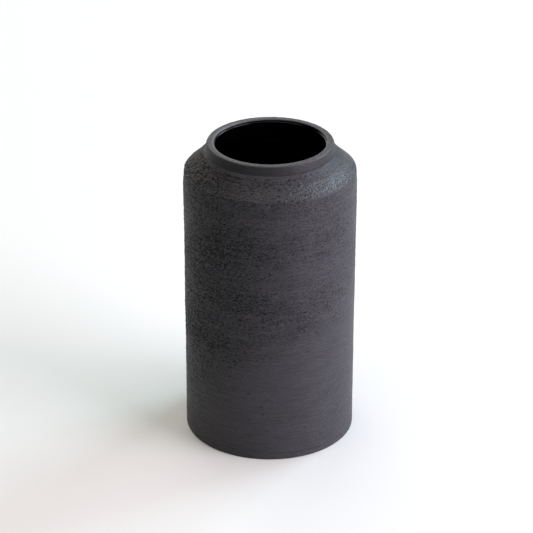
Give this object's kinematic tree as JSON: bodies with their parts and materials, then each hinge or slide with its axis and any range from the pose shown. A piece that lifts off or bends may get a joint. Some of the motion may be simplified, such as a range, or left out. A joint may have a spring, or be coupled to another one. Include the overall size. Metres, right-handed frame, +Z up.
{
  "type": "vase",
  "caption": "Cylindrical matte black stoneware vase with a sloped shoulder, a short upright collar, a round mouth and a glazed inside.",
  "frame": {"origin": "centre of the underside, on the surface that the vase stands on", "axes": "+Z up along the vase's axis of revolution; X and Y are any two level directions"},
  "size_m": [0.11, 0.11, 0.2],
  "materials": {
    "stoneware": "unglazed matte black clay with coarse grog, torn pits and horizontal scraping lines",
    "stoneware_smooth": "unglazed black clay, sponged smooth on the wheel, with fine turning lines",
    "black_glaze": "thin glossy black liner glaze"
  },
  "bodies": {
    "root": {"floor_disc": "stoneware", "body_wall": "stoneware", "shoulder": "stoneware", "collar": "stoneware_smooth", "glaze_liner": "black_glaze"}
  },
  "joints": []
}
